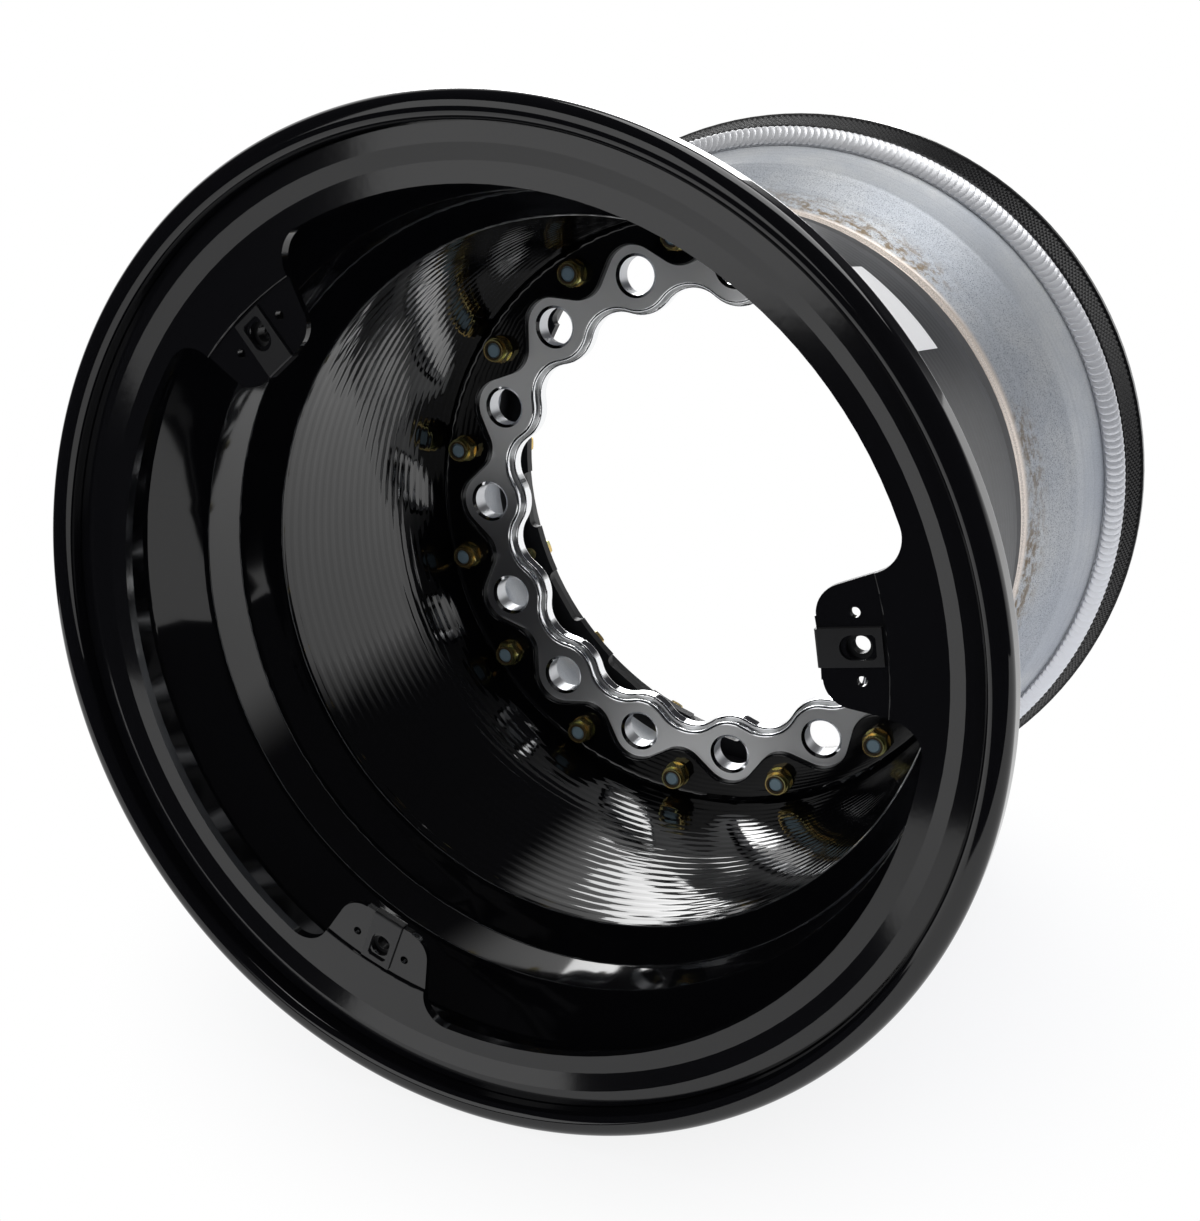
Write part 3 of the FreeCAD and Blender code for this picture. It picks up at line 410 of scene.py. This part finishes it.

# %% [markdown]
# Bare aluminium as it comes from the spinning lathe: light grey, cloudy, with dark specks,
# faint rings, and a brown burnish where the tool worked the waist. A pale gold band along the
# rolled edge of the waist is a painted highlight, and that band is also smoother.

# %% Bare shell
bare, tree, shader = finish("bare_aluminium", (0.6, 0.6, 0.6, 1), 0.4, 0.5)
place = place_group(tree, wheel_place)
coords = add(tree, "TexCoord").outputs["Object"]
clouds = noise(tree, coords, 14.0, 5.0, 0.65)
pale = blend_colours(tree, between(tree, clouds, 0.35, 0.68), (0.48, 0.51, 0.55, 1), (0.6, 0.615, 0.62, 1))
rings = place_group(tree, spin_marks, 420.0, 0.6)["Height"]
ring_share = math_node(tree, "MULTIPLY", between(tree, rings, 0.45, 0.75), 0.35)
banded = blend_colours(tree, ring_share, pale, (0.36, 0.38, 0.41, 1))
dots = place_group(tree, speckle, 1700.0, 0.5, 0.64)["Mask"]
calm = between(tree, place["Depth"], 0.135, 0.115)
speck_share = math_node(tree, "MULTIPLY", dots, math_node(tree, "MULTIPLY_ADD", calm, 0.5, 0.3))
specked = blend_colours(tree, speck_share, banded, (0.16, 0.18, 0.22, 1))
waist = band(tree, place["Depth"], (0.084, 0.088), (0.106, 0.09))
patches = noise(tree, add(tree, "CombineXYZ", math_node(tree, "MULTIPLY", place["Turn"], 24.0),
                          math_node(tree, "MULTIPLY", place["Depth"], 240.0)).outputs[0], 1.0, 5.0, 0.7)
outer_face = between(tree, place["Facing"], 0.01, 0.05)
spread = between(tree, noise(tree, coords, 11.0, 1.0), 0.36, 0.5)
blots = math_node(tree, "MULTIPLY", between(tree, patches, 0.44, 0.6),
                  math_node(tree, "MULTIPLY", spread, outer_face))
stain = math_node(tree, "MULTIPLY", waist, blots)
burnished = blend_colours(tree, stain, specked, (0.2, 0.145, 0.085, 1))
# Pale gold band on the outside of the rolled waist edge: a painted highlight in the base colour; the same
# band is made smoother
edge = math_node(tree, "MULTIPLY", band(tree, place["Depth"], (0.0735, 0.0755), (0.0885, 0.0845)), outer_face)
painted_highlight_share = math_node(tree, "MULTIPLY", edge, 0.8)
feed(tree, shader["Base Color"], blend_colours(tree, painted_highlight_share, burnished, (0.95, 0.82, 0.7, 1)))
grit = math_node(tree, "MULTIPLY_ADD", dots, 0.15, 0.42)
feed(tree, shader["Roughness"], math_node(tree, "MULTIPLY_ADD", edge, -0.15, grit))
bump(tree, shader, rings, 0.00012)
wear(bare, "inner_half")

# %% [markdown]
# The weld is a row of small overlapping crescents, each one a frozen pool of metal.

# %% Weld
weld, tree, shader = finish("bright_weld", (0.9, 0.91, 0.93, 1), 0.4, 0.38)
frost = noise(tree, add(tree, "TexCoord").outputs["Object"], 900.0, 3.0)
feed(tree, shader["Roughness"], math_node(tree, "MULTIPLY_ADD", frost, 0.3, 0.22))
bump(tree, shader, frost, 0.00004)
wear(weld, "weld_bead")

# %% Weld ripples
weld_count = 335
weld_radius, weld_depth = 0.1916, 0.1606
weld_rise, weld_leg = 9.6, 7.0
slant = math.atan2(weld_rise, weld_leg)
bpy.ops.mesh.primitive_uv_sphere_add(segments=12, ring_count=6, radius=1)
pool = bpy.context.object
pool.name = "weld_ripples"
pool.scale = (0.0046, 0.0060, 0.0010)
bpy.ops.object.transform_apply(location=False, rotation=False, scale=True)
bpy.ops.object.mode_set(mode="EDIT")
bpy.ops.mesh.select_all(action="SELECT")
bpy.ops.transform.rotate(value=math.radians(-8), orient_axis="Y", center_override=(0, 0, 0))
bpy.ops.object.mode_set(mode="OBJECT")
bpy.ops.object.shade_smooth()
around, outward, ahead = Vector((0, 0, 1)), Vector((1, 0, 0)), Vector((0, 1, 0))
raised = (outward * math.cos(slant) - ahead * math.sin(slant)).normalized()
lay = Matrix((around, raised.cross(around), raised)).transposed().to_4x4()
lay.translation = outward * weld_radius + ahead * weld_depth
pool.matrix_world = lay
bpy.ops.object.transform_apply(location=True, rotation=True, scale=True)
spin_copies(pool, weld_count)
pool.data.materials.clear()
pool.data.materials.append(weld)
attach(pool, "root")
print("weld ripples", weld_count, "faces", len(pool.data.polygons))

# %% [markdown]
# The bead ring and its clamp are black. A diamond knurl grips the tyre on the tapered edge:
# rows of small four-sided points, each row half a step on from the last.

# %% Knurled black
knurled, tree, shader = finish("knurled_black", (0.004, 0.004, 0.005, 1), 0.0, 0.3)
worn = noise(tree, add(tree, "TexCoord").outputs["Object"], 500.0, 2.0)
feed(tree, shader["Roughness"], math_node(tree, "MULTIPLY_ADD", worn, 0.2, 0.3))
shader["Specular IOR Level"].default_value = 0.25
wear(knurled, "bead_ring")
clamp_black, tree, shader = finish("clamp_black", (0.012, 0.012, 0.013, 1), 0.0, 0.3)
bump(tree, shader, place_group(tree, spin_marks, 1500.0, 0.4)["Height"], 0.00003)
wear(clamp_black, "clamp_ring")

# %% Knurl
knurl_count, knurl_rows, knurl_height = 400, 8, 0.0009
knurl_start, knurl_end = Vector((0.1968, 0.166175, 0)), Vector((0.2020, 0.184375, 0))
slope = knurl_end - knurl_start
row_step = slope.length / (knurl_rows + 1)
half_width = math.pi * knurl_start.x / knurl_count
bpy.ops.mesh.primitive_cone_add(vertices=4, radius1=1, depth=1, end_fill_type="NOTHING", location=(0, 0, 0.5))
knurl = bpy.context.object
knurl.name = "knurl"
bpy.ops.object.transform_apply(location=True, rotation=False, scale=False)
knurl.scale = (half_width, row_step, knurl_height)
bpy.ops.object.transform_apply(location=False, rotation=False, scale=True)
bpy.ops.object.mode_set(mode="EDIT")
bpy.ops.mesh.select_all(action="SELECT")
for row in range(1, knurl_rows):
    side = half_width if row % 2 else -half_width
    bpy.ops.mesh.duplicate_move(TRANSFORM_OT_translate={"value": (side, row_step, 0)})
bpy.ops.object.mode_set(mode="OBJECT")
along = slope.normalized()
lay = Matrix(((0, 0, -1), along, (along.y, -along.x, 0))).transposed().to_4x4()
lay.translation = knurl_start + along * row_step
knurl.matrix_world = lay
bpy.ops.object.transform_apply(location=True, rotation=True, scale=True)
spin_copies(knurl, knurl_count)
knurl.data.materials.clear()
knurl.data.materials.append(knurled)
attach(knurl, "root")
print("knurl", len(knurl.data.polygons), "faces")

# %% [markdown]
# Small parts: yellow zinc with its faint rainbow, clear zinc with bluish bolt ends, amber
# nylon, dull spring steel, sealant, rubber and the valve.

# %% Plated and plain small parts
gold, tree, shader = finish("yellow_zinc", (0.62, 0.44, 0.14, 1), 0.85, 0.22)
tint = noise(tree, add(tree, "TexCoord").outputs["Object"], 140.0, 2.0)
rainbow = between(tree, tint, 0.35, 0.65)
feed(tree, shader["Base Color"], blend_colours(tree, rainbow, (0.8, 0.55, 0.2, 1), (0.5, 0.5, 0.22, 1)))
wear(gold, "lock_nuts", "rim_washers", "clamp_bolts")
small = (
    ("nylon", (0.09, 0.06, 0.025, 1), 0.0, 0.35, ("nut_inserts",)),
    ("spring_black", (0.012, 0.012, 0.013, 1), 0.0, 0.4,
     ("cover_clip_right", "cover_clip_left", "cover_clip_bottom")),
    ("sealant", (0.05, 0.05, 0.052, 1), 0.0, 0.6, ("joint_seal",)),
    ("valve_rubber", (0.02, 0.02, 0.02, 1), 0.0, 0.6, ("valve_seal",)),
    ("valve_metal", (0.7, 0.66, 0.55, 1), 1.0, 0.25, ("valve_stem", "valve_nut")),
    ("valve_plastic", (0.015, 0.015, 0.015, 1), 0.0, 0.4, ("valve_cap",)),
)
zinc, tree, shader = finish("clear_zinc", (0.42, 0.6, 0.7, 1), 0.9, 0.32)
bolt_end = between(tree, place_group(tree, wheel_place)["Depth"], 0.06, 0.055)
feed(tree, shader["Metallic"], math_node(tree, "MULTIPLY_ADD", bolt_end, -0.6, 0.9))
feed(tree, shader["Base Color"], blend_colours(tree, bolt_end, (0.66, 0.67, 0.66, 1), (0.42, 0.6, 0.7, 1)))
wear(zinc, "rim_bolts")
for name, colour, metallic, roughness, wearers in small:
    plain, tree, shader = finish(name, colour, metallic, roughness)
    grain = noise(tree, add(tree, "TexCoord").outputs["Object"], 1200.0, 2.0)
    feed(tree, shader["Roughness"], math_node(tree, "MULTIPLY_ADD", grain, 0.16, roughness - 0.08))
    bump(tree, shader, grain, 0.00003)
    wear(plain, *wearers)

# %% [markdown]
# ## Paper label
# A blank white paper label sticks to the outside of the barrel, slightly askew. A grid is
# wrapped onto the cone of the barrel by its own row and column, then given the thickness of
# paper.

# %% Paper label
bpy.ops.mesh.primitive_grid_add(x_subdivisions=28, y_subdivisions=8, size=1)
label = bpy.context.object
label.name = "paper_label"
askew, label_turn, label_depth = math.radians(4), math.radians(47.8), 0.0102
label_length, label_height, paper_thickness = 0.0503, 0.072, 0.00012
barrel_front, barrel_length, barrel_radius, barrel_fall = -0.094, 0.153, 0.16310, 0.0034
for corner in label.data.vertices:
    length, height = label_length * corner.co.x, label_height * (corner.co.y - 0.5)
    depth = label_depth + length * math.sin(askew) + height * math.cos(askew)
    radius = barrel_radius - barrel_fall * (depth - barrel_front) / barrel_length + paper_thickness
    turn = label_turn + (length * math.cos(askew) - height * math.sin(askew)) / radius
    corner.co = (radius * math.cos(turn), depth, radius * math.sin(turn))
bpy.ops.object.mode_set(mode="EDIT")
bpy.ops.mesh.select_all(action="SELECT")
bpy.ops.mesh.normals_make_consistent(inside=False)
bpy.ops.object.mode_set(mode="OBJECT")
thickness = label.modifiers.new("paper", "SOLIDIFY")
thickness.thickness = paper_thickness
thickness.offset = 1.0
bpy.ops.object.modifier_apply(modifier="paper")
paper_white, tree, shader = finish("label_paper", (0.85, 0.85, 0.85, 1), 0.0, 0.6)
fibres = noise(tree, add(tree, "TexCoord").outputs["Object"], 700.0, 4.0)
feed(tree, shader["Base Color"], blend_colours(tree, fibres, (0.82, 0.82, 0.82, 1), (0.9, 0.9, 0.9, 1)))
bump(tree, shader, fibres, 0.00002)
label.data.materials.append(paper_white)
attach(label, "root")
print("label", len(label.data.polygons), "faces")

# %% [markdown]
# ## Studio
# A white sweep lies under and behind the wheel, and the room in front of it is dark. That is
# what makes the black coat read: the white behind shines through the hub opening and is
# mirrored in the dish, while the front faces mirror mostly darkness. Camera and mirror rays
# see the sweep as nearly white, and fully white away from the wheel, so only a soft shadow
# stays. The room is white to the camera, and mirror rays find it white behind on both sides.

# %% Sweep
floor_height = cad_box[0][2]
sweep_width, sweep_length, sweep_middle = 2.8, 2.75, (0.5, 0.825)
wall_height, curve, wall_line = 0.62, 0.5, 1
bpy.ops.mesh.primitive_plane_add(size=1)
sweep = bpy.context.object
sweep.name = "studio_sweep"
bpy.ops.object.mode_set(mode="EDIT")
bpy.ops.mesh.select_all(action="SELECT")
bpy.ops.transform.resize(value=(sweep_width, sweep_length, 1), center_override=(0, 0, 0))
bpy.ops.transform.translate(value=(*sweep_middle, floor_height))
bpy.ops.mesh.select_all(action="DESELECT")
bpy.ops.object.mode_set(mode="OBJECT")
for edge in sweep.data.edges:
    edge.select = all(sweep.data.vertices[i].co.y > wall_line for i in edge.vertices)
bpy.ops.object.mode_set(mode="EDIT")
bpy.ops.mesh.extrude_region_move(TRANSFORM_OT_translate={"value": (0, 0, wall_height)})
bpy.ops.mesh.select_all(action="DESELECT")
bpy.ops.object.mode_set(mode="OBJECT")
for edge in sweep.data.edges:
    ends = [sweep.data.vertices[i].co for i in edge.vertices]
    edge.select = all(end.y > wall_line and end.z < 0 for end in ends)
bpy.ops.object.mode_set(mode="EDIT")
bpy.ops.mesh.bevel(offset=curve, segments=16, affect="EDGES")
bpy.ops.object.mode_set(mode="OBJECT")
bpy.ops.object.shade_smooth()
paper = bpy.data.materials.new("white_paper")
paper.use_nodes = True
tree = paper.node_tree
shader = tree.nodes["Principled BSDF"]
shader.inputs["Base Color"].default_value = (0.84, 0.88, 1.0, 1)
shader.inputs["Roughness"].default_value = 0.8
shader.inputs["Specular IOR Level"].default_value = 0.0
glow = add(tree, "Emission", (1, 1, 1, 1), 1.0).outputs[0]
rays = add(tree, "LightPath").outputs
bounced = math_node(tree, "MAXIMUM", rays["Is Glossy Ray"], rays["Is Transmission Ray"])
seen = math_node(tree, "MAXIMUM", rays["Is Camera Ray"], bounced)
away = add(tree, "VectorMath", add(tree, "TexCoord").outputs["Object"], operation="LENGTH").outputs["Value"]
share = math_node(tree, "MULTIPLY_ADD", between(tree, away, 0.24, 0.36), 0.17, 0.83)
mixed = add(tree, "MixShader", math_node(tree, "MULTIPLY", seen, share), shader.outputs[0], glow).outputs[0]
tree.links.new(mixed, tree.nodes["Material Output"].inputs["Surface"])
sweep.data.materials.append(paper)
print("sweep at height", round(floor_height, 4))

# %% World
world = bpy.data.worlds.new("studio_room")
scene.world = world
world.use_nodes = True
tree = world.node_tree
rays = add(tree, "LightPath").outputs
way = add(tree, "SeparateXYZ", add(tree, "TexCoord").outputs["Generated"]).outputs
level = math_node(tree, "MULTIPLY", between(tree, way[1], 0.1, 0.4), between(tree, way[2], 0.35, 0.1))
right_side = math_node(tree, "MULTIPLY", between(tree, way[0], 0.15, 0.4), level)
high = math_node(tree, "MULTIPLY", between(tree, way[1], 0.1, 0.4), between(tree, way[2], 0.85, 0.55))
left_side = math_node(tree, "MULTIPLY", between(tree, way[0], -0.05, -0.25), high)
sides = math_node(tree, "MAXIMUM", right_side, left_side)
mirrored = blend_colours(tree, sides, (0.03, 0.03, 0.033, 1), (1, 1, 1, 1))
room = blend_colours(tree, rays["Is Glossy Ray"], (0.32, 0.32, 0.33, 1), mirrored)
background = tree.nodes["Background"]
feed(tree, background.inputs["Color"], blend_colours(tree, rays["Is Camera Ray"], room, (1, 1, 1, 1)))
background.inputs["Strength"].default_value = 1.0
print("world", world.name)


# %% Soft boxes
def soft_box(name, place, target, width, height, power):
    bpy.ops.object.light_add(type="AREA", location=place)
    lamp = bpy.context.object
    lamp.name = name
    lamp.data.shape = "RECTANGLE"
    lamp.data.size = width
    lamp.data.size_y = height
    lamp.data.energy = power
    lamp.rotation_euler = (Vector(target) - Vector(place)).to_track_quat("-Z", "Y").to_euler()
    print(name, power, "W")


soft_box("top_box", (0.45, 0.35, 1.5), (0.05, 0.0, 0.0), 1.3, 1.3, 17)
soft_box("back_left_box", (-0.62, 1.5, 0.45), (0.0, 0.1, 0.0), 0.9, 0.7, 12)
soft_box("front_left_box", (-0.56, -1.5, 0.36), (-0.1, -0.2, 0.0), 0.64, 0.8, 2.4)
